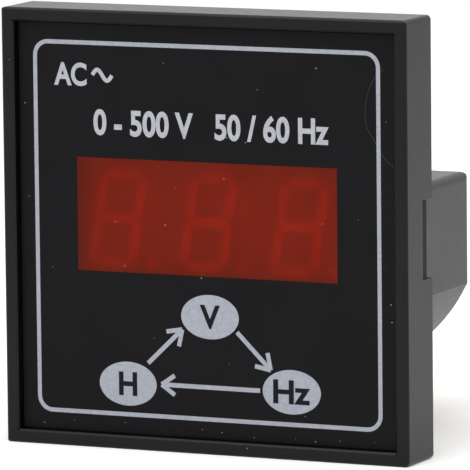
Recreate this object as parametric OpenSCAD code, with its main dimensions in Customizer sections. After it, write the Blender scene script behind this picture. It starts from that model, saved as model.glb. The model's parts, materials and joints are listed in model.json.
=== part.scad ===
// Square digital panel meter in a moulded case, with a three-digit LED display.
// Millimetres. X runs right, Z up, and the front looks along -Y.
// The origin is the centre of the panel face, where the case meets the panel it is fixed to.

/* [Bezel] */
// Width and height of the square bezel
bezel_w = 45; // [44:0.5:56]
// Depth of the bezel in front of the panel
bezel_d = 6.4; // [6:0.1:9]
// Wall of the bezel's skirt
skirt_wall = 1.6; // [1.2:0.1:2]
// Thickness of the bezel's front wall behind the faceplate
front_wall = 1.6; // [1.4:0.1:2]
// Width of the raised rim round the faceplate
rim_w = 1.4; // [1:0.1:2]
// Height of the rim above the faceplate
rim_h = 0.95; // [0.6:0.05:1.2]
// Radius of the bezel's four long corners
bezel_corner_r = 0.5; // [0.3:0.1:1.2]
// Radius of the bezel's front edges
bezel_edge_r = 0.35; // [0.2:0.05:0.6]
// Bevel on the rim's inner edge
rim_bevel = 0.18; // [0.1:0.02:0.3]

/* [Faceplate and window] */
// Thickness of the faceplate
plate_t = 0.5; // [0.3:0.1:0.8]
// Gap between the faceplate and the rim
plate_gap = 0.15; // [0.1:0.05:0.3]
// Width of the window
window_w = 29; // [26:0.5:29.5]
// Height of the window
window_h = 11.7; // [10.5:0.1:12.2]
// Height of the window's centre above the bezel's centre
window_z = 1.45; // [0:0.05:3]
// Thickness of the lens under the faceplate
lens_t = 1; // [0.7:0.1:1.2]
// How far the lens reaches behind the faceplate all round
lens_lip = 1; // [0.6:0.1:1.5]

/* [Case] */
// Radius of the round collar that locates the meter in its panel hole
collar_r = 18.5; // [18.3:0.1:19]
// Length of the collar behind the panel face
collar_len = 8.5; // [8:0.1:9]
// Radius of the case's round underside behind the collar
case_r = 18.3; // [17.5:0.1:18.3]
// Width of the case behind the collar, flat to flat
case_w = 32.8; // [31:0.1:34]
// Height of the case's flat top above the bezel's centre
case_top = 3.6; // [2:0.1:8]
// Depth of the case behind the panel face
case_d = 24.2; // [23:0.1:34]
// Wall of the case
case_wall = 1.5; // [1.2:0.1:1.8]
// Thickness of the flange inside the bezel's skirt
flange_t = 1.6; // [1.2:0.1:1.8]
// Radius of the case's long top corners
case_corner_r = 0.9; // [0.4:0.1:1.4]
// Radius of the case's rear edges
case_rear_r = 0.6; // [0.3:0.1:1]

/* [Side catches] */
// Height of the notch in each side of the skirt
notch_h = 8.1; // [5:0.1:12]
// Depth of the notch from the skirt's rear edge
notch_d = 2.4; // [1.8:0.1:2.8]
// Open slot behind the catch in the notch
catch_slot = 0.85; // [0.5:0.05:1.1]
// How far the catch's high end lies below the skirt's face
catch_sink = 0.25; // [0.1:0.05:0.5]

/* [Panel studs] */
// Spacing of the four panel studs, across and up
stud_pitch = 32; // [31.5:0.1:33]
// Diameter of a panel stud
stud_dia = 3; // [2.5:0.5:3]
// Length of a panel stud behind the panel face
stud_len = 10; // [6:0.5:16]

/* [Terminals] */
// Distance between the two terminal studs
terminal_pitch = 15; // [13:0.5:16]
// Height of the terminals above the bezel's centre
terminal_z = -5.5; // [-7:0.5:-4]
// Diameter of a terminal stud
terminal_dia = 4; // [3:0.5:4]
// Length of a terminal stud behind the case's rear face
terminal_len = 11.5; // [10:0.5:18]
// Width of a terminal nut across its flats
nut_af = 7; // [6:0.5:7]
// Thickness of a terminal nut
nut_t = 3.2; // [2.4:0.2:4]

/* [Display] */
// Width of the display's body
display_w = 30.1; // [30:0.1:30.6]
// Height of the display's body
display_h = 12.8; // [12.6:0.1:13.4]
// Depth of the display's body
display_d = 6.2; // [5:0.1:6.2]
// Height of the display's centre above the bezel's centre
display_z = 0.9; // [0.4:0.1:2]
// Distance from one digit to the next
digit_pitch = 10.16; // [9.6:0.01:10.16]
// Height of a digit over its outer edges
digit_h = 10.16; // [8:0.01:10.16]
// Width of a digit over its outer edges
digit_w = 5.4; // [4.5:0.1:5.8]
// Width of a segment
segment_w = 1; // [0.7:0.05:1.2]
// Gap between neighbouring segments
segment_gap = 0.14; // [0.1:0.02:0.2]
// Depth of a segment in the display's face
segment_d = 1; // [0.5:0.1:2]
// Lean of the digits in degrees
digit_lean = 9; // [0:1:12]
// Shift of the three digits to the left in the display's body
digit_shift = 0.6; // [0:0.1:1]
// Diameter of a decimal point
point_dia = 1.2; // [0.8:0.1:1.4]

/* [Circuit board] */
// Thickness of the circuit board
board_t = 1.6; // [1:0.2:1.6]
// Gap between the board's edge and the collar
board_gap = 0.3; // [0.2:0.1:0.5]
// Gap between the display's back and the board
board_standoff = 0.25; // [0.1:0.05:0.4]
// Diameter of a board screw
screw_dia = 2; // [1.6:0.2:2.4]
// Length of a board screw under its head
screw_len = 3.6; // [3:0.1:3.8]

/* [Hidden] */
$fn = 64;
eps = 0.01;
fit = 0.15; // clearance between parts that slide together
half = bezel_w / 2;
plate_y = -bezel_d + rim_h; // the faceplate's front face
floor_y = plate_y + plate_t; // the pocket's floor under the faceplate
wall_y = floor_y + front_wall; // the back of the bezel's front wall
lens_y = floor_y + lens_t; // the back of the lens
pocket_w = bezel_w - 2 * rim_w;
plate_w = pocket_w - 2 * plate_gap;
skirt_in = half - skirt_wall;
flange_w = 2 * (skirt_in - fit);
bead_h = 0.3;
bead_w = 20;
bead_y = -flange_t / 2;

collar_in = collar_r - case_wall;
step_y = collar_len - case_wall; // the inner face of the collar's rear wall
rear_in = case_d - case_wall; // the inner face of the case's rear wall

display_y = wall_y + 0.1;
display_back = display_y + display_d;
board_y = display_back + board_standoff;
board_back = board_y + board_t;
board_r = collar_in - board_gap;
screw_x = 8.5;
screw_z = 11.8;
boss_r = 1.9;

pin_pitch = 2.54;
pin_r = 0.25;
pin_inset = 1.3; // from the display's upper and lower edges in to its pins
pin_rows = display_h - 2 * pin_inset;
pin_tip = board_back + 1;

// Parts on the back of the board: their bodies, and where their centres lie
mcu_w = 9.9;
mcu_h = 3.9;
mcu_t = 1.5;
mcu_z = 9.5;
mcu_legs_pitch = 1.27;
memory_w = 4.9;
memory_x = -11.3;
memory_z = 5.2;
rectifier_w = 4.7;
rectifier_t = 2.4;
rectifier_x = 9.8;
rectifier_z = -7.3;
rectifier_legs_pitch = 2.54;
leg_w = 0.4;
leg_t = 0.2;
leg_foot = 1;
chip_rise = 0.1; // gap under a chip's body
crystal_w = 10.5;
crystal_d = 4;
crystal_h = 3.4;
crystal_rim = 0.3; // how far its base reaches out over the can's nominal depth
crystal_base = 0.5;
crystal_x = -8.05;
crystal_z = -7.1;
film_w = 13;
film_d = 5.4;
film_h = 11.5;
film_x = -7.1;
film_z = -0.9;
can_r = 4;
can_h = 11;
can_groove = 1.6;
can_x = 1.8;
can_z = -9.4;
diode_len = 3.6;
diode_r = 0.9;
diode_lead_r = 0.25;
diode_reach = 6;
diode_z = 0.8;
fuse_len = 4.6;
fuse_r = 1.2;
fuse_lead_r = 0.3;
fuse_reach = 6.4;
fuse_z = -1.8;
axial_x = 8.5;
transistor_w = 2.9;
transistor_h = 1.3;
transistor_t = 1;
transistor_pitch = 4.4;
transistor_edge = 2.7; // from the board's edge in to the transistors
transistor_z = board_r - transistor_edge;
resistor_w = 0.85;
resistor_h = 1.6;
resistor_t = 0.5;
resistor_pitch = 1.55;
resistor_z = 4.1;
capacitor_w = 1.6;
capacitor_h = 0.85;
capacitor_t = 0.8;
capacitor_pitch = 2;
capacitor_x = 12;
capacitor_z = 7;

stud_head_r = stud_dia / 2 + 1.2;
stud_shank_r = stud_dia / 2 + 0.3; // the stretch moulded into the flange
stud_head_t = 1.2;
terminal_head = terminal_dia + 2.6;
terminal_head_t = 2.2;
tag_t = 0.5;
tag_end_r = 1.2; // the round end of a solder tag
tag_rise = 4.6; // from the case's inner underside up to the tags' ends
tag_drop = terminal_z + case_r - case_wall - tag_rise; // from a terminal down to its tag's end
wire_r = 0.75;
washer_r = nut_af / 2 + 0.7;
washer_t = 0.8;
spring_t = 1;
pad_r = washer_r + 0.5;
pad_t = 0.5;
pad_y = case_d + pad_t;

// A flat shape drawn in X and Z, from y0 to y1
module slab(y0, y1) {
    translate([0, y1, 0]) rotate([90, 0, 0]) linear_extrude(y1 - y0) children();
}

// A round bar along Y
module rod(x, z, y0, y1, r) {
    translate([x, y1, z]) rotate([90, 0, 0]) cylinder(h = y1 - y0, r = r);
}

module round_rect(w, h, r) {
    square([w - 2 * r, h], center = true);
    square([w, h - 2 * r], center = true);
    for (x = [-1, 1], y = [-1, 1])
        translate([x * (w / 2 - r), y * (h / 2 - r)]) circle(r);
}

// A strip of width w from y0 to y1, with its two corners at y0 rounded
module round_end(w, y0, y1, r) {
    translate([-w / 2, y0 + r]) square([w, y1 - y0 - r]);
    translate([-w / 2 + r, y0]) square([w - 2 * r, r + eps]);
    for (x = [-1, 1])
        translate([x * (w / 2 - r), y0 + r]) circle(r);
}

// ---- Bezel ----

module bezel_block() {
    reach = bezel_w + 2;
    intersection() {
        slab(-bezel_d, 0) round_rect(bezel_w, bezel_w, bezel_corner_r);
        translate([0, 0, -reach / 2])
            linear_extrude(reach) round_end(bezel_w, -bezel_d, 1, bezel_edge_r);
        translate([-reach / 2, 0, 0]) rotate([0, 90, 0])
            linear_extrude(reach) round_end(bezel_w, -bezel_d, 1, bezel_edge_r);
    }
}

// A bevel along each inner edge of the rim
module rim_bevels() {
    for (a = [0, 90, 180, 270])
        rotate([0, a, 0]) translate([-pocket_w / 2 - rim_bevel, -bezel_d, pocket_w / 2])
            rotate([0, 90, 0]) linear_extrude(pocket_w + 2 * rim_bevel)
                polygon([[eps, -eps], [-rim_bevel - eps, -eps], [eps, rim_bevel + eps]]);
}

// Ribs in the skirt that the flange seats against
module skirt_ribs() {
    rib_w = 2;
    rib_t = 1;
    rib_at = 9;
    for (a = [0, 90, 180, 270], s = [-1, 1])
        rotate([0, a, 0]) translate([s * rib_at - rib_w / 2, wall_y - eps, skirt_in - rib_t])
            cube([rib_w, -flange_t - wall_y + eps, rib_t + eps]);
}

module side_notches() {
    for (s = [-1, 1])
        translate([s * (half - skirt_wall / 2), -notch_d / 2 + eps, 0])
            cube([skirt_wall + 2 * eps, notch_d + 2 * eps, notch_h], center = true);
}

// A shallow groove above and below that the flange's beads click into
module bead_grooves(depth) {
    for (s = [-1, 1])
        translate([0, bead_y, s * (skirt_in + (depth - fit) / 2)])
            cube([bead_w + 2 * fit, bead_h + 2 * fit, depth + fit], center = true);
}

module front_bezel() {
    color([0.13, 0.13, 0.15]) difference() {
        union() {
            difference() {
                bezel_block();
                slab(-bezel_d - 1, floor_y) square(pocket_w, center = true);
                rim_bevels();
                slab(wall_y, 1) square(2 * skirt_in, center = true);
            }
            skirt_ribs();
        }
        translate([0, 0, window_z]) {
            slab(floor_y - 1, lens_y)
                square([window_w + 2 * lens_lip + 2 * fit, window_h + 2 * lens_lip + 2 * fit], center = true);
            slab(lens_y - eps, wall_y + eps)
                square([window_w + fit, window_h + fit], center = true);
        }
        side_notches();
        bead_grooves(bead_h + fit);
    }
}

module faceplate() {
    color([0.1, 0.1, 0.11]) slab(plate_y, floor_y) difference() {
        square(plate_w, center = true);
        translate([0, window_z]) square([window_w, window_h], center = true);
    }
}

// The lens fills the faceplate's opening and has a lip behind it
module window_lens() {
    color([0.6, 0.1, 0.06]) translate([0, 0, window_z]) {
        slab(floor_y, lens_y)
            square([window_w + 2 * lens_lip, window_h + 2 * lens_lip], center = true);
        slab(plate_y, floor_y + eps)
            square([window_w - 0.04, window_h - 0.04], center = true);
    }
}

// ---- Case ----

// The case's section behind the collar: a round bottom, flat sides and a flat top
module case_section(inset, r) {
    w = case_w - 2 * inset;
    top = case_top - inset;
    intersection() {
        circle(case_r - inset);
        translate([0, top - case_r]) round_rect(w, 2 * case_r, r);
    }
}

// The closed outside of the case, with its rear edges rounded
module case_outside() {
    reach = 2 * case_r + 2;
    slab(0, collar_len) circle(collar_r);
    intersection() {
        slab(0, case_d) case_section(0, case_corner_r);
        translate([0, 0, -reach / 2]) mirror([0, 1, 0])
            linear_extrude(reach) round_end(case_w, -case_d, 0, case_rear_r);
        translate([-reach / 2, 0, case_top - case_r]) rotate([0, 90, 0]) mirror([0, 1, 0])
            linear_extrude(reach) round_end(2 * case_r, -case_d, 0, case_rear_r);
        rotate([-90, 0, 0]) rotate_extrude() intersection() {
            mirror([0, 1, 0]) round_end(2 * case_r, -case_d, 0, case_rear_r);
            square([case_r, case_d]);
        }
    }
}

// A catch with a ramp on each side of the flange, lying in the skirt's notch
module side_catch() {
    low = skirt_in - fit;
    high = half - catch_sink;
    front = -notch_d + fit;
    back = -catch_slot;
    h = notch_h - 2 * fit;
    translate([0, 0, -h / 2]) linear_extrude(h)
        polygon([[low - 1, front], [low, front], [high, back], [low - 1, back]]);
}

module flange() {
    slab(-flange_t, 0) round_rect(flange_w, flange_w, bezel_corner_r);
    for (s = [-1, 1])
        translate([0, bead_y, s * flange_w / 2])
            rotate([45, 0, 0]) cube([bead_w, bead_h, bead_h], center = true);
    side_catch();
    mirror([1, 0, 0]) side_catch();
}

module board_bosses() {
    for (s = [-1, 1]) {
        rod(s * screw_x, screw_z, board_back, step_y + eps, boss_r);
        intersection() {
            slab(board_back, step_y + eps)
                translate([s * (collar_in - 1), 0]) square([2.6, 5], center = true);
            slab(0, collar_len) circle(collar_in + eps);
        }
    }
}

module rear_case() {
    color([0.15, 0.14, 0.15]) difference() {
        union() {
            difference() {
                union() {
                    flange();
                    case_outside();
                }
                slab(-notch_d - 1, step_y) circle(collar_in);
                slab(step_y - eps, rear_in) case_section(case_wall, case_corner_r / 2);
                translate([0, 0, display_z]) slab(-notch_d - 1, board_back)
                    square([display_w + 4 * fit, display_h + 4 * fit], center = true);
            }
            board_bosses();
            for (s = [-1, 1])
                rod(s * terminal_pitch / 2, terminal_z, case_d - eps, pad_y, pad_r);
        }
        for (s = [-1, 1]) {
            rod(s * terminal_pitch / 2, terminal_z, rear_in - 1, pad_y + 1, terminal_dia / 2 + 0.05);
            rod(s * screw_x, screw_z, board_back - 1, collar_len - 0.5, screw_dia / 2);
        }
        for (x = [-1, 1], z = [-1, 1])
            rod(x * stud_pitch / 2, z * stud_pitch / 2, -flange_t - 1, 1, stud_shank_r);
    }
}

module panel_studs() {
    color([0.72, 0.72, 0.7]) for (x = [-1, 1], z = [-1, 1]) {
        rod(x * stud_pitch / 2, z * stud_pitch / 2, -eps, stud_len, stud_dia / 2);
        rod(x * stud_pitch / 2, z * stud_pitch / 2, -flange_t - eps, 0, stud_shank_r);
        rod(x * stud_pitch / 2, z * stud_pitch / 2, -flange_t - stud_head_t, -flange_t, stud_head_r);
    }
}

// ---- Display ----

// One digit's seven segments as flat bars with pointed ends, centred on the digit
module digit_bars() {
    reach_x = (digit_w - segment_w) / 2;
    reach_y = (digit_h - segment_w) / 2;
    for (y = [-reach_y, 0, reach_y])
        translate([0, y]) bar(2 * reach_x);
    for (x = [-reach_x, reach_x], y = [-1, 1])
        translate([x, y * reach_y / 2]) rotate(90) bar(reach_y);
}

// A bar between two corners that are a distance apart
module bar(distance) {
    r = segment_w / 2;
    e = distance / 2 - segment_gap / sqrt(2);
    polygon([[-e, 0], [-e + r, r], [e - r, r], [e, 0], [e - r, -r], [-e + r, -r]]);
}

// All the lit areas of the display, drawn flat
module lit_areas() {
    lean = tan(digit_lean);
    for (i = [-1, 0, 1]) translate([i * digit_pitch - digit_shift, 0]) {
        multmatrix([[1, lean, 0, 0], [0, 1, 0, 0], [0, 0, 1, 0], [0, 0, 0, 1]]) digit_bars();
        translate([digit_w / 2 + point_dia / 2 + 0.45, -digit_h / 2 + point_dia / 2])
            circle(point_dia / 2);
    }
}

module display_body() {
    color([0.2, 0.05, 0.05]) translate([0, 0, display_z]) difference() {
        slab(display_y, display_back) square([display_w, display_h], center = true);
        slab(display_y - 1, display_y + segment_d) lit_areas();
    }
}

module display_segments() {
    color([0.65, 0.12, 0.08]) translate([0, 0, display_z])
        slab(display_y, display_y + segment_d) lit_areas();
}

// Places one child at each of the display's twelve pins
module at_pins() {
    for (i = [0:5], s = [-1, 1])
        translate([(i - 2.5) * pin_pitch, 0, display_z + s * pin_rows / 2]) children();
}

module display_pins() {
    color([0.75, 0.74, 0.7]) at_pins() rod(0, 0, display_back, pin_tip, pin_r);
}

// ---- Circuit board and what it carries ----

module main_board() {
    color([0.1, 0.33, 0.16]) difference() {
        slab(board_y, board_back) circle(board_r);
        at_pins() rod(0, 0, board_y - 1, board_back + 1, pin_r + 0.2);
        for (s = [-1, 1])
            rod(s * screw_x, screw_z, board_y - 1, board_back + 1, screw_dia / 2 + 0.1);
    }
}

module board_screws() {
    head_r = screw_dia * 0.9;
    head_t = 1.1;
    color([0.7, 0.7, 0.7]) for (s = [-1, 1]) difference() {
        union() {
            rod(s * screw_x, screw_z, board_y - head_t, board_y, head_r);
            rod(s * screw_x, screw_z, board_y - eps, board_y + screw_len, screw_dia / 2 - 0.05);
        }
        translate([s * screw_x, board_y - head_t, screw_z]) {
            cube([head_r * 1.1, 1, 0.4], center = true);
            cube([0.4, 1, head_r * 1.1], center = true);
        }
    }
}

// A flat-pack chip on the board's back, with a row of legs above and below
module chip(w, h, t, legs, leg_pitch) {
    translate([0, board_back, 0]) {
        translate([-w / 2, chip_rise, -h / 2]) cube([w, t, h]);
        for (i = [0:legs - 1], s = [-1, 1])
            translate([(i - (legs - 1) / 2) * leg_pitch, 0, s * (h / 2 + leg_foot / 2 - eps)]) {
                translate([0, leg_t / 2, 0]) cube([leg_w, leg_t, leg_foot], center = true);
                translate([0, t / 2, -s * leg_foot / 4])
                    cube([leg_w, leg_t, leg_foot / 2], center = true);
                translate([0, t / 4 + leg_t / 2, 0]) cube([leg_w, t / 2, leg_t], center = true);
            }
    }
}

module microcontroller() {
    color([0.15, 0.15, 0.15]) translate([0, 0, mcu_z])
        chip(mcu_w, mcu_h, mcu_t, 7, mcu_legs_pitch);
}

module memory_chip() {
    color([0.15, 0.15, 0.15]) translate([memory_x, 0, memory_z]) rotate([0, 90, 0])
        chip(memory_w, mcu_h, mcu_t, 4, mcu_legs_pitch);
}

// A low metal can on its two leads
module crystal() {
    base_d = crystal_d + 2 * crystal_rim;
    can_w = crystal_w - 0.8;
    can_d = crystal_d - 0.2;
    top = board_back + crystal_base;
    color([0.75, 0.75, 0.75]) translate([crystal_x, 0, crystal_z]) {
        slab(board_back, top) round_rect(crystal_w, base_d, base_d / 2 - eps);
        slab(top - eps, board_back + crystal_h) round_rect(can_w, can_d, can_d / 2 - eps);
    }
}

module dropper_capacitor() {
    color([0.75, 0.62, 0.15]) translate([film_x, 0, film_z])
        slab(board_back, board_back + film_h) round_rect(film_w, film_d, 0.6);
}

// A can with a rolled groove near its base and a scored top
module smoothing_capacitor() {
    color([0.12, 0.14, 0.3]) translate([can_x, board_back, can_z]) rotate([-90, 0, 0]) difference() {
        cylinder(h = can_h, r = can_r);
        translate([0, 0, can_groove]) rotate_extrude() translate([can_r + 0.25, 0]) circle(0.45);
        for (a = [0, 90])
            rotate(a) translate([0, 0, can_h]) cube([can_r * 1.4, 0.3, 0.4], center = true);
    }
}

// A round axial part on its two bent leads, lying along X
module axial(body_len, body_r, lead_r, reach) {
    y = board_back + body_r;
    translate([-body_len / 2, y, 0]) rotate([0, 90, 0]) cylinder(h = body_len, r = body_r);
    translate([-reach / 2, y, 0]) rotate([0, 90, 0]) cylinder(h = reach, r = lead_r);
    for (s = [-1, 1])
        rod(s * (reach / 2 - lead_r), 0, board_back, y + lead_r, lead_r);
}

module bridge_rectifier() {
    color([0.18, 0.18, 0.18]) translate([rectifier_x, 0, rectifier_z])
        chip(rectifier_w, mcu_h, rectifier_t, 2, rectifier_legs_pitch);
}

module zener_diode() {
    color([0.7, 0.35, 0.2]) translate([axial_x, 0, diode_z])
        axial(diode_len, diode_r, diode_lead_r, diode_reach);
}

module fusible_resistor() {
    color([0.45, 0.6, 0.66]) translate([axial_x, 0, fuse_z])
        axial(fuse_len, fuse_r, fuse_lead_r, fuse_reach);
}

module digit_transistors() {
    w = transistor_w;
    h = transistor_h;
    color([0.15, 0.15, 0.15]) for (i = [-1, 0, 1])
        translate([i * transistor_pitch, board_back, transistor_z]) {
            translate([-w / 2, 0.08, -h / 2]) cube([w, transistor_t, h]);
            for (p = [[-0.95, -1], [0.95, -1], [0, 1]])
                translate([p[0] - leg_w / 2, 0, p[1] * (h / 2 + 0.3) - 0.35]) cube([leg_w, 0.3, 0.7]);
        }
}

module chip_part(x, z, w, h, t) {
    translate([x - w / 2, board_back, z - h / 2]) cube([w, t, h]);
}

module segment_resistors() {
    color([0.12, 0.12, 0.12]) for (i = [0:7])
        chip_part((i - 3.5) * resistor_pitch, resistor_z, resistor_w, resistor_h, resistor_t);
}

module chip_capacitors() {
    color([0.7, 0.55, 0.38]) for (i = [-1, 0, 1])
        chip_part(capacitor_x, capacitor_z + i * capacitor_pitch, capacitor_w, capacitor_h, capacitor_t);
}

// ---- Terminals ----

module at_terminals() {
    for (s = [-1, 1]) translate([s * terminal_pitch / 2, 0, terminal_z]) children();
}

module terminal_studs() {
    r = terminal_dia / 2;
    end = case_d + terminal_len;
    tip = 0.5;
    color([0.8, 0.66, 0.32]) at_terminals() {
        rod(0, 0, rear_in - tag_t - eps, end - tip, r);
        translate([0, end - tip, 0]) rotate([-90, 0, 0]) cylinder(h = tip, r1 = r, r2 = r - tip);
        slab(rear_in - tag_t - terminal_head_t, rear_in - tag_t)
            square(terminal_head, center = true);
    }
}

// A ring under each stud's head with a tail that the lead is soldered to
module solder_tags() {
    ring_r = terminal_dia / 2 + 1.4;
    color([0.78, 0.76, 0.7]) at_terminals() slab(rear_in - tag_t, rear_in) difference() {
        union() {
            circle(ring_r);
            translate([-tag_end_r, -tag_drop]) square([2 * tag_end_r, tag_drop - tag_end_r]);
            translate([0, -tag_drop]) circle(tag_end_r);
        }
        circle(terminal_dia / 2 + 0.05);
    }
}

module lead_wires() {
    color([0.65, 0.1, 0.1]) at_terminals()
        rod(0, -tag_drop, board_back, rear_in - tag_t, wire_r);
}

module terminal_washers() {
    color([0.8, 0.66, 0.32]) at_terminals() slab(pad_y, pad_y + washer_t) difference() {
        circle(washer_r);
        circle(terminal_dia / 2 + 0.15);
    }
}

module terminal_spring_washers() {
    y = pad_y + washer_t;
    color([0.7, 0.7, 0.7]) at_terminals() slab(y, y + spring_t) difference() {
        circle(nut_af / 2 - 0.1);
        circle(terminal_dia / 2 + 0.1);
        rotate(70) translate([0, -0.3]) square([nut_af, 0.6]);
    }
}

module terminal_nuts() {
    y = pad_y + washer_t + spring_t;
    corner_r = nut_af / sqrt(3);
    color([0.8, 0.66, 0.32]) at_terminals() difference() {
        intersection() {
            slab(y, y + nut_t) circle(corner_r, $fn = 6);
            translate([0, y, 0]) rotate([-90, 0, 0])
                cylinder(h = nut_t, r1 = corner_r + nut_t - 0.5, r2 = corner_r - 0.5);
        }
        rod(0, 0, y - 1, y + nut_t + 1, terminal_dia / 2);
    }
}

front_bezel();
faceplate();
window_lens();
rear_case();
panel_studs();
display_body();
display_segments();
display_pins();
main_board();
board_screws();
microcontroller();
memory_chip();
crystal();
dropper_capacitor();
smoothing_capacitor();
bridge_rectifier();
zener_diode();
fusible_resistor();
digit_transistors();
segment_resistors();
chip_capacitors();
terminal_studs();
solder_tags();
lead_wires();
terminal_washers();
terminal_spring_washers();
terminal_nuts();
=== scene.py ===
"""Looks of the digital panel meter: finishes, printed markings, threads, dust, painted glints and the
studio.
"""

import json
import math
import random

import bmesh
import bpy
from mathutils import Matrix, Vector

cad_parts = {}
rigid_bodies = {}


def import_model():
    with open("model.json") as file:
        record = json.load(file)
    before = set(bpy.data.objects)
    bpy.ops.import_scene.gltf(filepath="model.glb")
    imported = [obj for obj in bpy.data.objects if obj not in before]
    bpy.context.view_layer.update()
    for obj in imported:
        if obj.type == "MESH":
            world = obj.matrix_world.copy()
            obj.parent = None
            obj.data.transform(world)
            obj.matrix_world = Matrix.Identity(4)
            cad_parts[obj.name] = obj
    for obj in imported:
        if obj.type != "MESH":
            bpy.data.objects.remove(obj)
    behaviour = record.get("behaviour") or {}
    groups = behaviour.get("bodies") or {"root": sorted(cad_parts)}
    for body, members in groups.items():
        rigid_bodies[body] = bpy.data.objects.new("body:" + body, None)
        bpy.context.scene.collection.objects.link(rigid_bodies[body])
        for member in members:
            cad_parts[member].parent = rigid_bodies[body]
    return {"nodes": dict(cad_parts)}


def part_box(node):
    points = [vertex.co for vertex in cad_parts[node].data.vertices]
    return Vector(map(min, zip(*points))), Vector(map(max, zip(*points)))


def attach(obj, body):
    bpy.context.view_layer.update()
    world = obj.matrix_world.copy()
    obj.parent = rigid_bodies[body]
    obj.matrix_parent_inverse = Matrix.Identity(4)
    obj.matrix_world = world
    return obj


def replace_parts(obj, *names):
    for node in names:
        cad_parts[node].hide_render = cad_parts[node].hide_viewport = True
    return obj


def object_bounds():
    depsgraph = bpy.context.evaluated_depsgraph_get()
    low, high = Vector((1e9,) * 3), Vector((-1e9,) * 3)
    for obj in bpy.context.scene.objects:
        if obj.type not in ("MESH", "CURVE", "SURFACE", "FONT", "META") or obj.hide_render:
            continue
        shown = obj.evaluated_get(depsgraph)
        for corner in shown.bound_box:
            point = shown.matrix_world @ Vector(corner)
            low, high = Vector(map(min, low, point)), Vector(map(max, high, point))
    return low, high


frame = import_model()
cad_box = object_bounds()
MM = 0.001
BODY = "root"

# ---------------------------------------------------------------- places read from the frame

PLATE_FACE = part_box("faceplate")[0].y  # the printed face looks along -Y

# ---------------------------------------------------------------- materials


def new_material(name):
    """A material with a Principled shader, and its node tree."""
    material = bpy.data.materials.new(name)
    material.use_nodes = True
    return material, material.node_tree, material.node_tree.nodes["Principled BSDF"]


def add_node(tree, kind, **values):
    """A new node, with its inputs set by name and its properties by attribute."""
    node = tree.nodes.new(kind)
    for key, value in values.items():
        if key in node.inputs:
            node.inputs[key].default_value = value
        else:
            setattr(node, key, value)
    return node


def noise(tree, scale, detail=3.0, roughness=0.55):
    """Noise over the object's own coordinates, in cells per metre."""
    where = add_node(tree, "ShaderNodeTexCoord")
    texture = add_node(tree, "ShaderNodeTexNoise", Scale=scale, Detail=detail, Roughness=roughness)
    tree.links.new(where.outputs["Object"], texture.inputs["Vector"])
    return texture.outputs["Fac"]


def ramp(tree, source, low, high, colour_low, colour_high):
    """Blends two colours as a value goes from low to high."""
    node = add_node(tree, "ShaderNodeValToRGB")
    node.color_ramp.elements[0].position = low
    node.color_ramp.elements[0].color = (*colour_low, 1)
    node.color_ramp.elements[1].position = high
    node.color_ramp.elements[1].color = (*colour_high, 1)
    tree.links.new(source, node.inputs["Fac"])
    return node.outputs["Color"]


def spread(tree, source, low, high):
    """Maps noise from 0.3..0.7 to low..high."""
    node = add_node(tree, "ShaderNodeMapRange")
    node.inputs["From Min"].default_value = 0.3
    node.inputs["From Max"].default_value = 0.7
    node.inputs["To Min"].default_value = low
    node.inputs["To Max"].default_value = high
    tree.links.new(source, node.inputs["Value"])
    return node.outputs["Result"]


def bump(tree, shader, height, distance, strength=1.0):
    """Adds a bump to the shader from a height value."""
    node = add_node(tree, "ShaderNodeBump", Strength=strength, Distance=distance)
    tree.links.new(height, node.inputs["Height"])
    tree.links.new(node.outputs["Normal"], shader.inputs["Normal"])


SPECK_SHARE = 0.28  # share of the cells that hold a speck


def specks(tree, scale, size):
    """1 in small round specks scattered over the surface, 0 elsewhere."""
    where = add_node(tree, "ShaderNodeTexCoord")
    cells = add_node(tree, "ShaderNodeTexVoronoi", Scale=scale)
    near = add_node(tree, "ShaderNodeMath", operation="LESS_THAN")
    near.inputs[1].default_value = size
    few = add_node(tree, "ShaderNodeMath", operation="GREATER_THAN")
    few.inputs[1].default_value = 1 - SPECK_SHARE
    both = add_node(tree, "ShaderNodeMath", operation="MULTIPLY")
    channel = add_node(tree, "ShaderNodeSeparateColor")
    tree.links.new(where.outputs["Object"], cells.inputs["Vector"])
    tree.links.new(cells.outputs["Distance"], near.inputs[0])
    tree.links.new(cells.outputs["Color"], channel.inputs["Color"])
    tree.links.new(channel.outputs["Red"], few.inputs[0])
    tree.links.new(near.outputs["Value"], both.inputs[0])
    tree.links.new(few.outputs["Value"], both.inputs[1])
    return both.outputs["Value"]


def mix_colour(tree, factor, first, second):
    """The first socket's colour where the factor is 0, and the second colour where it is 1."""
    node = add_node(tree, "ShaderNodeMix", data_type="RGBA")
    tree.links.new(factor, node.inputs["Factor"])
    # the colour sockets share their names with the float ones, so they are found by type
    low, high = (socket for socket in node.inputs if socket.type == "RGBA")
    tree.links.new(first, low)
    high.default_value = (*second, 1)
    return next(socket for socket in node.outputs if socket.type == "RGBA")


DUST_TONE = (0.3, 0.29, 0.27)
PLASTIC_TINT = (1, 0.955, 0.985, 1)  # the plastic's reflections are faintly purple


def moulded_plastic(name, dark, light, roughness, grain, ior, dust=0.0):
    """Moulded plastic: faint cloudy tone, fine grain and, where dust has a size, pale specks."""
    material, tree, shader = new_material(name)
    colour = ramp(tree, noise(tree, 120, 4), 0.35, 0.65, dark, light)
    if dust:
        colour = mix_colour(tree, specks(tree, 420, dust), colour, DUST_TONE)
    tree.links.new(colour, shader.inputs["Base Color"])
    rough = spread(tree, noise(tree, 900, 2), roughness - 0.015, roughness + 0.02)
    tree.links.new(rough, shader.inputs["Roughness"])
    shader.inputs["IOR"].default_value = ior
    shader.inputs["Specular Tint"].default_value = PLASTIC_TINT
    bump(tree, shader, noise(tree, 7000, 3), grain)
    return material


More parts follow.
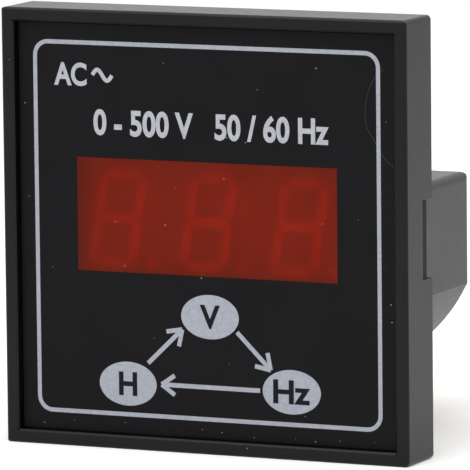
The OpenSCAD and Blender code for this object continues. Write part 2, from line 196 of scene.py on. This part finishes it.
def metal(name, colour, roughness, scale=1500):
    """Plated or machined metal with fine turning marks and slight tarnish."""
    material, tree, shader = new_material(name)
    dull = tuple(c * 0.72 for c in colour)
    tone = ramp(tree, noise(tree, scale, 4), 0.35, 0.7, dull, colour)
    rough = spread(tree, noise(tree, scale * 3, 2), roughness, roughness + 0.15)
    tree.links.new(tone, shader.inputs["Base Color"])
    tree.links.new(rough, shader.inputs["Roughness"])
    shader.inputs["Metallic"].default_value = 1
    bump(tree, shader, noise(tree, scale * 6, 2), 0.00002, 0.5)
    return material


def coated(name, dark, light, roughness, scale=1200):
    """Resin, lacquer or sleeve over a small electronic part."""
    material, tree, shader = new_material(name)
    tone = ramp(tree, noise(tree, scale, 3), 0.35, 0.65, dark, light)
    tree.links.new(tone, shader.inputs["Base Color"])
    shader.inputs["Roughness"].default_value = roughness
    bump(tree, shader, noise(tree, scale * 4, 2), 0.00001, 0.6)
    return material


def red_lens():
    """Frosted red acrylic: part see-through, part milky, under a faint gloss."""
    material, tree, _ = new_material("red_lens")
    tree.nodes.remove(tree.nodes["Principled BSDF"])
    clear = add_node(tree, "ShaderNodeBsdfRefraction", Color=(0.68, 0.09, 0.045, 1))
    clear.inputs["Roughness"].default_value = 0.58
    clear.inputs["IOR"].default_value = 1.2
    milky = add_node(tree, "ShaderNodeBsdfDiffuse")
    tint = ramp(tree, noise(tree, 260, 3), 0.35, 0.65, (0.285, 0.036, 0.017), (0.325, 0.042, 0.02))
    tree.links.new(tint, milky.inputs["Color"])
    body = add_node(tree, "ShaderNodeMixShader", Fac=0.35)
    gloss = add_node(tree, "ShaderNodeBsdfGlossy", Roughness=0.28)
    edge = add_node(tree, "ShaderNodeFresnel", IOR=1.12)
    surface = add_node(tree, "ShaderNodeMixShader")
    tree.links.new(clear.outputs[0], body.inputs[1])
    tree.links.new(milky.outputs[0], body.inputs[2])
    tree.links.new(edge.outputs[0], surface.inputs[0])
    tree.links.new(body.outputs[0], surface.inputs[1])
    tree.links.new(gloss.outputs[0], surface.inputs[2])
    # light is tinted once as it enters the lens, and leaves by the far side unchanged
    leaving = add_node(tree, "ShaderNodeBsdfTransparent")
    inside = add_node(tree, "ShaderNodeNewGeometry")
    either = add_node(tree, "ShaderNodeMixShader")
    tree.links.new(inside.outputs["Backfacing"], either.inputs[0])
    tree.links.new(surface.outputs[0], either.inputs[1])
    tree.links.new(leaving.outputs[0], either.inputs[2])
    tree.links.new(either.outputs[0], tree.nodes["Material Output"].inputs["Surface"])
    return material


def ink(name, colour, ior=1.45):
    """Silk-screened ink: matt, slightly uneven in cover."""
    material, tree, shader = new_material(name)
    thin = tuple(c * 0.88 for c in colour)
    tone = ramp(tree, noise(tree, 2600, 4), 0.38, 0.6, thin, colour)
    tree.links.new(tone, shader.inputs["Base Color"])
    shader.inputs["Roughness"].default_value = 0.6
    shader.inputs["IOR"].default_value = ior
    bump(tree, shader, noise(tree, 9000, 2), 0.000005, 0.6)
    return material


BLACK = moulded_plastic("bezel_plastic", (0.0025, 0.0022, 0.0028), (0.004, 0.0036, 0.0043),
                        roughness=0.33, grain=0.000008, ior=1.295, dust=0.035)
CASE = moulded_plastic("case_plastic", (0.013, 0.011, 0.012), (0.017, 0.015, 0.016),
                       roughness=0.36, grain=0.000008, ior=1.4)
PLATE = moulded_plastic("plate_print", (0.004, 0.0038, 0.0046), (0.0055, 0.0052, 0.0062),
                        roughness=0.5, grain=0.000006, ior=1.2, dust=0.03)
PALE_INK = ink("pale_ink", (0.38, 0.405, 0.47))
WHITE_INK = ink("white_ink", (0.45, 0.465, 0.51))
DARK_INK = ink("dark_ink", (0.008, 0.0085, 0.011), 1.2)
STEEL = metal("nickel_plate", (0.62, 0.61, 0.58), 0.28)
BRASS = metal("brass", (0.72, 0.5, 0.2), 0.26)
TINNED = metal("tinned", (0.62, 0.61, 0.59), 0.34)
# This pale ink colours the dust grains, and also the painted glints along the plate's right edge.
DUST_AND_GLINT_INK = ink("dust", (0.36, 0.34, 0.3))

NODE_MATERIALS = {
    "front_bezel": BLACK,
    "faceplate": PLATE,
    "window_lens": red_lens(),
    "rear_case": CASE,
    "display_body": coated("display_face", (0.22, 0.09, 0.07), (0.27, 0.1, 0.08), 0.6, 500),
    "display_segments": coated("segment_resin", (0.5, 0.1, 0.07), (0.57, 0.12, 0.08), 0.35, 700),
    "display_pins": TINNED,
    "main_board": coated("board_lacquer", (0.02, 0.11, 0.045), (0.03, 0.15, 0.06), 0.3),
    "board_screws": STEEL,
    "microcontroller": coated("chip_resin", (0.02, 0.02, 0.022), (0.03, 0.03, 0.032), 0.55),
    "memory_chip": coated("memory_resin", (0.02, 0.02, 0.022), (0.03, 0.03, 0.032), 0.55),
    "crystal": metal("crystal_can", (0.6, 0.6, 0.6), 0.22),
    "dropper_capacitor": coated("film_box", (0.5, 0.36, 0.05), (0.6, 0.44, 0.07), 0.4),
    "smoothing_capacitor": coated("sleeve", (0.01, 0.014, 0.06), (0.014, 0.02, 0.09), 0.25),
    "bridge_rectifier": coated("rectifier_resin", (0.02, 0.02, 0.022), (0.03, 0.03, 0.032), 0.5),
    "zener_diode": coated("glass_bead", (0.45, 0.12, 0.03), (0.6, 0.18, 0.05), 0.12),
    "fusible_resistor": coated("flameproof_coat", (0.12, 0.24, 0.28), (0.17, 0.3, 0.36), 0.6),
    "digit_transistors": coated("transistor_resin", (0.02, 0.02, 0.022), (0.03, 0.03, 0.032), 0.55),
    "segment_resistors": coated("resistor_glaze", (0.015, 0.015, 0.015), (0.03, 0.03, 0.03), 0.3),
    "chip_capacitors": coated("capacitor_ceramic", (0.3, 0.2, 0.1), (0.4, 0.28, 0.15), 0.5),
    "solder_tags": TINNED,
    "lead_wires": coated("wire_sleeve", (0.35, 0.012, 0.01), (0.42, 0.018, 0.014), 0.3),
    "terminal_washers": BRASS,
    "terminal_spring_washers": STEEL,
    "terminal_nuts": BRASS,
    "terminal_studs": BRASS,
    "panel_studs": STEEL,
}


def dress_nodes():
    """Gives each CAD node its material."""
    for name, material in NODE_MATERIALS.items():
        piece = frame["nodes"][name]
        for item in [piece, *piece.children_recursive]:
            if item.type == "MESH":
                item.data.materials.clear()
                item.data.materials.append(material)


# ---------------------------------------------------------------- mesh helpers


def piece_from(name, mesh, material):
    """A piece of the object that rides on the one body."""
    mesh.materials.clear()
    mesh.materials.append(material)
    piece = bpy.data.objects.new(name, mesh)
    bpy.context.scene.collection.objects.link(piece)
    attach(piece, BODY)
    return piece


INK_T = 0.02 * MM  # thickness of the printed ink


def mesh_from(work, name):
    """Turns a finished bmesh into a mesh with its faces looking outward."""
    bmesh.ops.recalc_face_normals(work, faces=work.faces)
    mesh = bpy.data.meshes.new(name)
    work.to_mesh(mesh)
    work.free()
    return mesh


def printed(name, outline, material, lift=0.0):
    """A flat patch of ink, from an outline of X, Z points, lifted by a number of ink layers."""
    back = PLATE_FACE - lift * INK_T
    front = back - INK_T
    work = bmesh.new()
    near = [work.verts.new((x, front, z)) for x, z in outline]
    far = [work.verts.new((x, back, z)) for x, z in outline]
    work.faces.new(near)
    work.faces.new(list(reversed(far)))
    for i in range(len(outline)):
        j = (i + 1) % len(outline)
        work.faces.new((near[i], far[i], far[j], near[j]))
    piece_from(name, mesh_from(work, name), material)


def ellipse(x, z, rx, rz, count=72):
    """The outline of an ellipse."""
    turns = [2 * math.pi * i / count for i in range(count)]
    return [(x + rx * math.cos(t), z + rz * math.sin(t)) for t in turns]


def stroke(start, end, width):
    """The outline of a straight line of ink."""
    a, b = Vector(start), Vector(end)
    side = (b - a).normalized().orthogonal() * width / 2
    return [tuple(p) for p in (a + side, b + side, b - side, a - side)]


def band_sides(points, width, closed):
    """The two edges of a band of ink, as a pair of points for each point of its path."""
    count = len(points)
    sides = []
    for i, point in enumerate(points):
        before = Vector(points[i - 1]) if closed or i else Vector(point)
        after = Vector(points[(i + 1) % count]) if closed or i < count - 1 else Vector(point)
        along = (after - before).normalized()
        side = Vector((-along.y, along.x)) * width / 2
        sides.append((Vector(point) + side, Vector(point) - side))
    return sides


def printed_band(name, points, width, material, closed=False):
    """A band of ink along a path, as one closed mesh."""
    work = bmesh.new()
    count = len(points)
    front = PLATE_FACE - INK_T
    rings = []
    for a, b in band_sides(points, width, closed):
        corners = ((a.x, front, a.y), (b.x, front, b.y), (b.x, PLATE_FACE, b.y), (a.x, PLATE_FACE, a.y))
        rings.append([work.verts.new(corner) for corner in corners])
    for i in range(count if closed else count - 1):
        p, q = rings[i], rings[(i + 1) % count]
        for k in range(4):
            m = (k + 1) % 4
            work.faces.new((p[k], p[m], q[m], q[k]))
    if not closed:
        work.faces.new(rings[0])
        work.faces.new(list(reversed(rings[-1])))
    piece_from(name, mesh_from(work, name), material)


def rounded_square(half_x, half_z, radius, steps=14):
    """The centre line of a border with round corners."""
    points = []
    for sx, sz, start in ((1, 1, 0), (-1, 1, 90), (-1, -1, 180), (1, -1, 270)):
        for i in range(steps + 1):
            turn = math.radians(start + 90 * i / steps)
            points.append((sx * (half_x - radius) + radius * math.cos(turn),
                           sz * (half_z - radius) + radius * math.sin(turn)))
    return points


def lettering(name, text, height, width, centre, material, bold, lift=0.0):
    """Printed characters from the built-in font, as a thin mesh of a given height and width."""
    curve = bpy.data.curves.new(name, "FONT")
    curve.body = text
    curve.size = 1
    curve.resolution_u = 6
    curve.offset = bold
    curve.extrude = 0.01
    text_object = bpy.data.objects.new(name + "_curve", curve)
    bpy.context.scene.collection.objects.link(text_object)
    bpy.context.view_layer.update()
    mesh = bpy.data.meshes.new_from_object(text_object)
    bpy.data.objects.remove(text_object)
    bpy.data.curves.remove(curve)
    low = [min(v.co[i] for v in mesh.vertices) for i in range(3)]
    high = [max(v.co[i] for v in mesh.vertices) for i in range(3)]
    scale_x = width / (high[0] - low[0])
    scale_z = height / (high[1] - low[1])
    scale_y = INK_T / (high[2] - low[2])
    for v in mesh.vertices:
        x, z, depth = v.co
        v.co = (centre[0] + (x - (low[0] + high[0]) / 2) * scale_x,
                PLATE_FACE - lift * INK_T - (depth - low[2]) * scale_y,
                centre[1] + (z - (low[1] + high[1]) / 2) * scale_z)
    mesh.update()
    piece_from(name, mesh, material)


# ---------------------------------------------------------------- printed markings

BORDER_HALF_X = 19.08 * MM
BORDER_HALF_Z = 19.02 * MM
BORDER_W = 0.44 * MM
BORDER_R = 1.45 * MM
SYMBOLS = (  # letters, the ellipse's centre in mm, the letters' width in mm and their weight
    ("V", (0.3, -8.5), 2.25, 0.028),
    ("H", (-9.0, -15.85), 2.05, 0.03),
    ("Hz", (9.32, -15.7), 4.1, 0.028),
)
SYMBOL_RX = 3.22 * MM
SYMBOL_RZ = 2.27 * MM
ARROWS = (  # each from its tail to its point, in mm
    ((-6.7, -13.6), (-2.9, -10.0)),
    ((3.3, -9.9), (6.95, -13.5)),
    ((5.8, -15.74), (-5.1, -15.72)),
)
ARROW_W = 0.46 * MM
BARB = 1.7 * MM
BARB_ANGLE = 36
BARB_OVERRUN = 0.06  # share of a barb by which it starts past the arrow's point
LETTER_H = 2.45 * MM
RANGE_PLACE = (0.55 * MM, 10.95 * MM)
SIGN_Z = 15.75 * MM
SINE_START = -12.6 * MM
SINE_LENGTH = 2.2 * MM
SINE_HEIGHT = 0.55 * MM
SINE_POINTS = 24


def arrow_outlines(start, end):
    """A shaft and the two barbs of an open head."""
    a, b = Vector(start) * MM, Vector(end) * MM
    back = (a - b).normalized() * BARB
    outlines = [stroke(a, b, ARROW_W)]
    for turn in (BARB_ANGLE, -BARB_ANGLE):
        barb = Matrix.Rotation(math.radians(turn), 2) @ back
        outlines.append(stroke(b - back * BARB_OVERRUN, b + barb, ARROW_W))
    return outlines


def print_plate():
    """The border, the unit symbols with their arrows, and plain generic markings."""
    printed_band("border_line", rounded_square(BORDER_HALF_X, BORDER_HALF_Z, BORDER_R),
                 BORDER_W, PALE_INK, closed=True)
    for name, (x, z), _, _ in SYMBOLS:
        printed(f"symbol_{name}", ellipse(x * MM, z * MM, SYMBOL_RX, SYMBOL_RZ), PALE_INK)
    for i, (start, end) in enumerate(ARROWS):
        for k, outline in enumerate(arrow_outlines(start, end)):
            printed(f"arrow_{i + 1}_{k + 1}", outline, PALE_INK, lift=k * 0.2)
    for name, (x, z), width, bold in SYMBOLS:
        lettering(f"letter_{name}", name, LETTER_H, width * MM, (x * MM, z * MM), DARK_INK, bold, lift=1)
    lettering("range_marking", "0 - 500 V   50 / 60 Hz", 2.75 * MM, 26.2 * MM, RANGE_PLACE, WHITE_INK, 0.03)
    lettering("alternating_sign", "AC", 2.4 * MM, 3.7 * MM, (-15.1 * MM, SIGN_Z), WHITE_INK, 0.03)
    sine = [(SINE_START + SINE_LENGTH * i / SINE_POINTS,
             SIGN_Z + SINE_HEIGHT * math.sin(2 * math.pi * i / SINE_POINTS))
            for i in range(SINE_POINTS + 1)]
    printed_band("sine_sign", sine, 0.42 * MM, WHITE_INK)


# ---------------------------------------------------------------- threads


ROWS_PER_TURN = 6
THREAD_DEPTH = 0.6  # in pitches
CREST = 1.25  # how steeply a thread rises to its flat crest
CHAMFER = 0.8  # length of the tip's chamfer, in pitches
ROD_STEPS = 40  # points round a rod


def threaded_rod(work, x, z, start, end, major, pitch):
    """A threaded rod along Y from start to end, with a chamfered tip and closed ends."""
    minor = major - THREAD_DEPTH * pitch
    rows = int((end - start) / pitch * ROWS_PER_TURN)
    rings = []
    for row in range(rows + 1):
        y = start + (end - start) * row / rows
        limit = major - max(0.0, pitch * CHAMFER - (end - y))
        ring = []
        for i in range(ROD_STEPS):
            turn = 2 * math.pi * i / ROD_STEPS
            phase = ((y - start) / pitch - i / ROD_STEPS) % 1.0
            rise = min(1.0, abs(phase - 0.5) * 2 * CREST)
            radius = min(minor + (major - minor) * rise, limit)
            ring.append(work.verts.new((x + radius * math.cos(turn), y, z + radius * math.sin(turn))))
        rings.append(ring)
    for a, b in zip(rings, rings[1:]):
        for i in range(ROD_STEPS):
            j = (i + 1) % ROD_STEPS
            work.faces.new((a[i], a[j], b[j], b[i]))
    work.faces.new(rings[0])
    work.faces.new(list(reversed(rings[-1])))


def add_plain_end(work, node, end):
    """Copies a node's own solids up to Y = end, and closes the cut."""
    copy = bmesh.new()
    copy.from_mesh(frame["nodes"][node].data)
    everything = copy.verts[:] + copy.edges[:] + copy.faces[:]
    cut = bmesh.ops.bisect_plane(copy, geom=everything, plane_co=Vector((0, end, 0)),
                                 plane_no=Vector((0, 1, 0)), clear_outer=True)
    rim = [edge for edge in cut["geom_cut"] if isinstance(edge, bmesh.types.BMEdge)]
    bmesh.ops.holes_fill(copy, edges=rim)
    scratch = bpy.data.meshes.new(node + "_end")
    copy.to_mesh(scratch)
    copy.free()
    work.from_mesh(scratch)
    bpy.data.meshes.remove(scratch)


def threaded_studs(node, places, start, plain_end, major, pitch, material):
    """Studs with real thread turns in place of a node's plain bars, with the node's own heads."""
    name = node + "_threaded"
    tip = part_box(node)[1].y
    work = bmesh.new()
    for x, z in places:
        threaded_rod(work, x, z, start, tip, major, pitch)
    bmesh.ops.recalc_face_normals(work, faces=work.faces)
    add_plain_end(work, node, plain_end)
    mesh = bpy.data.meshes.new(name)
    work.to_mesh(mesh)
    work.free()
    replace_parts(piece_from(name, mesh, material), node)


PANEL_HEAD_R = 2.7 * MM  # the head of a panel stud, which reaches the node's box on all sides
TERMINAL_HEAD_R = 3.3 * MM  # half the square head of a terminal


def add_threads():
    """Thread on the panel studs and the terminals."""
    low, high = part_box("panel_studs")
    places = [(x, z)
              for x in (low.x + PANEL_HEAD_R, high.x - PANEL_HEAD_R)
              for z in (low.z + PANEL_HEAD_R, high.z - PANEL_HEAD_R)]
    threaded_studs("panel_studs", places, -0.2 * MM, -0.1 * MM, 1.5 * MM, 0.5 * MM, STEEL)
    low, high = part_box("terminal_studs")
    places = [(x, (low.z + high.z) / 2)
              for x in (low.x + TERMINAL_HEAD_R, high.x - TERMINAL_HEAD_R)]
    nut_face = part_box("terminal_nuts")[0].y
    threaded_studs("terminal_studs", places, nut_face, nut_face + 0.2 * MM, 2.0 * MM, 0.7 * MM,
                   BRASS)


# ---------------------------------------------------------------- dust, painted glints and the fine scuff

# The grains along the plate's right edge, at X from 19.9 to 20.4 mm, are painted glints: pale spots that
# stand for light caught at the plate's edge. The others are dust.
PLATE_DUST_AND_GLINTS = (  # X, Z and size in mm
    (12.3, 17.3, 0.13), (20.3, -6.2, 0.14), (20.4, -8.0, 0.12), (-0.7, -20.1, 0.1), (14.6, -20.4, 0.1),
    (-12.2, 11.6, 0.12), (-20.0, 3.0, 0.08), (-6.0, -11.0, 0.08), (5.8, 14.9, 0.09), (16.8, 2.2, 0.08),
    (-17.4, -4.2, 0.07), (2.4, -13.2, 0.07), (-4.6, 17.2, 0.08), (19.9, 12.2, 0.08), (10.8, -18.1, 0.09),
    (-18.6, -20.4, 0.09), (-15.2, -20.0, 0.07), (-9.4, -19.9, 0.08), (-3.1, -20.5, 0.07), (1.5, -20.3, 0.09),
    (5.1, -20.6, 0.08), (9.7, -20.4, 0.08), (11.9, -20.6, 0.1), (18.4, -20.3, 0.07), (-20.3, 12.6, 0.1),
)
LENS_SPECKS = (  # the same on the lens
    (-10.2, 0.8, 0.1), (-4.6, 0.7, 0.1), (-3.4, 4.6, 0.08), (2.0, 5.7, 0.11), (-9.2, -3.7, 0.09),
    (12.9, 1.6, 0.08), (9.0, -2.4, 0.07), (1.9, 3.3, 0.07),
)
SCUFF = ((19.7, 17.5), (18.1, 16.4), (17.4, 12.0), (18.7, 10.2), (19.7, 8.3), (20.8, 7.6))  # X, Z in mm


def flake(work, x, y, z, size, seed):
    """A tiny uneven pale grain: dust, or a painted glint where it sits at the plate's right edge."""
    chance = random.Random(seed)
    made = bmesh.ops.create_icosphere(work, subdivisions=2, radius=size / 2)
    stretch = 1 + chance.random() * 0.8
    turn = Matrix.Rotation(chance.random() * math.pi, 3, "Y")
    for v in made["verts"]:
        spot = turn @ Vector((v.co.x * stretch, v.co.y * 0.35, v.co.z * (0.75 + 0.2 * chance.random())))
        v.co = spot + Vector((x, y, z))


def add_dust_and_glints():
    """The grains that lie on the plate and the lens: dust, and pale painted glints along the plate's right
    edge.
    """
    work = bmesh.new()
    for i, (x, z, size) in enumerate(PLATE_DUST_AND_GLINTS + LENS_SPECKS):
        flake(work, x * MM, PLATE_FACE, z * MM, size * MM, i)
    mesh = bpy.data.meshes.new("dust_grains")
    work.to_mesh(mesh)
    work.free()
    piece_from("dust_grains", mesh, DUST_AND_GLINT_INK)


def add_scuff():
    """A hair-fine curved scuff at the plate's upper right."""
    curve = bpy.data.curves.new("fine_scuff", "CURVE")
    curve.dimensions = "3D"
    curve.bevel_depth = 0.02 * MM
    curve.bevel_resolution = 2
    spline = curve.splines.new("NURBS")
    spline.points.add(len(SCUFF) - 1)
    for point, (x, z) in zip(spline.points, SCUFF):
        point.co = (x * MM, PLATE_FACE, z * MM, 1)
    spline.use_endpoint_u = True
    spline.order_u = 3
    made = bpy.data.objects.new("fine_scuff_curve", curve)
    bpy.context.scene.collection.objects.link(made)
    bpy.context.view_layer.update()
    mesh = bpy.data.meshes.new_from_object(made)
    mesh.name = "fine_scuff"
    bpy.data.objects.remove(made)
    bpy.data.curves.remove(curve)
    piece_from("fine_scuff", mesh, ink("scuff", (0.05, 0.05, 0.054)))


# ---------------------------------------------------------------- studio

AZIMUTH = math.radians(24.77)
ELEVATION = math.radians(7.67)
ROLL = math.radians(-0.61)
DISTANCE = 659.6 * MM
LENS_MM = 495.25
AIM = Vector((0.6, 0.16, -0.79)) * MM


def add_camera():
    """A long lens at the photograph's viewing angle."""
    back = Vector((math.sin(AZIMUTH) * math.cos(ELEVATION), -math.cos(AZIMUTH) * math.cos(ELEVATION),
                   math.sin(ELEVATION)))
    right = (-back).cross(Vector((0, 0, 1))).normalized()
    up = right.cross(-back)
    turned_right = math.cos(ROLL) * right + math.sin(ROLL) * up
    turned_up = -math.sin(ROLL) * right + math.cos(ROLL) * up
    data = bpy.data.cameras.new("camera")
    data.sensor_width = 36
    data.lens = LENS_MM
    data.clip_start = 0.01
    data.clip_end = 50
    camera = bpy.data.objects.new("camera", data)
    camera.matrix_world = Matrix.Translation(AIM + back * DISTANCE) @ Matrix(
        (turned_right, turned_up, back)).transposed().to_4x4()
    bpy.context.scene.collection.objects.link(camera)
    bpy.context.scene.camera = camera


def add_lamp(name, place, size, power, colour=(1, 1, 1), aim=(0, 0, 0)):
    """A soft rectangular lamp aimed at the object."""
    data = bpy.data.lights.new(name, "AREA")
    data.shape = "RECTANGLE"
    data.size, data.size_y = size
    data.energy = power
    data.color = colour
    lamp = bpy.data.objects.new(name, data)
    direction = Vector(aim) - Vector(place)
    lamp.matrix_world = Matrix.Translation(place) @ direction.to_track_quat("-Z", "Y").to_matrix().to_4x4()
    bpy.context.scene.collection.objects.link(lamp)


def seen_by_camera(tree, plain, shown):
    """Mixes to the shown shader for camera, glossy and transmission rays."""
    path = add_node(tree, "ShaderNodeLightPath")
    total = path.outputs["Is Camera Ray"]
    for name in ("Is Glossy Ray", "Is Transmission Ray"):
        joined = add_node(tree, "ShaderNodeMath", operation="MAXIMUM")
        tree.links.new(total, joined.inputs[0])
        tree.links.new(path.outputs[name], joined.inputs[1])
        total = joined.outputs["Value"]
    mix = add_node(tree, "ShaderNodeMixShader")
    tree.links.new(total, mix.inputs[0])
    tree.links.new(plain, mix.inputs[1])
    tree.links.new(shown, mix.inputs[2])
    return mix.outputs[0]


def add_world():
    """A white background with a plain grey fill light."""
    world = bpy.data.worlds.new("studio")
    bpy.context.scene.world = world
    world.use_nodes = True
    tree = world.node_tree
    fill = tree.nodes["Background"]
    fill.inputs["Color"].default_value = (1, 0.99, 0.98, 1)
    fill.inputs["Strength"].default_value = 0.4
    white = add_node(tree, "ShaderNodeBackground", Color=(1, 1, 1, 1), Strength=1.0)
    mixed = seen_by_camera(tree, fill.outputs[0], white.outputs[0])
    tree.links.new(mixed, tree.nodes["World Output"].inputs["Surface"])


def add_floor():
    """A pale floor under the object, which fades into the white background and keeps the shadow."""
    work = bmesh.new()
    bmesh.ops.create_grid(work, x_segments=1, y_segments=1, size=3)
    for v in work.verts:
        v.co.z = cad_box[0][2]
    mesh = bpy.data.meshes.new("floor")
    work.to_mesh(mesh)
    work.free()
    material, tree, shader = new_material("pale_floor")
    shader.inputs["Roughness"].default_value = 0.9
    tone = ramp(tree, noise(tree, 3, 2), 0.3, 0.7, (0.92, 0.92, 0.92), (0.94, 0.94, 0.94))
    tree.links.new(tone, shader.inputs["Base Color"])
    glow = add_node(tree, "ShaderNodeEmission", Color=(1, 1, 1, 1), Strength=0.15)
    lit = add_node(tree, "ShaderNodeAddShader")
    tree.links.new(shader.outputs[0], lit.inputs[0])
    tree.links.new(glow.outputs[0], lit.inputs[1])
    mixed = seen_by_camera(tree, shader.outputs[0], lit.outputs[0])
    tree.links.new(mixed, tree.nodes["Material Output"].inputs["Surface"])
    mesh.materials.append(material)
    floor = bpy.data.objects.new("floor", mesh)
    bpy.context.scene.collection.objects.link(floor)


def add_studio():
    """The camera, the white background, the floor and the soft lamps."""
    add_camera()
    add_world()
    add_floor()
    add_lamp("top_softbox", (0.05, -0.1, 0.7), (0.8, 0.8), 4.6, (1, 0.985, 0.96))
    add_lamp("right_softbox", (0.75, 0.1, 0.4), (0.6, 0.6), 1.4, (1, 0.98, 0.99))
    add_lamp("rear_softbox", (-0.35, 0.8, 0.16), (0.7, 0.3), 0.13, (1, 0.95, 0.91))
    add_lamp("front_softbox", (-0.15, -0.6, 0.75), (0.6, 0.6), 2.9, (0.97, 0.98, 1))
    bpy.context.scene.view_settings.view_transform = "Standard"


dress_nodes()
print_plate()
add_threads()
add_dust_and_glints()
add_scuff()
add_studio()
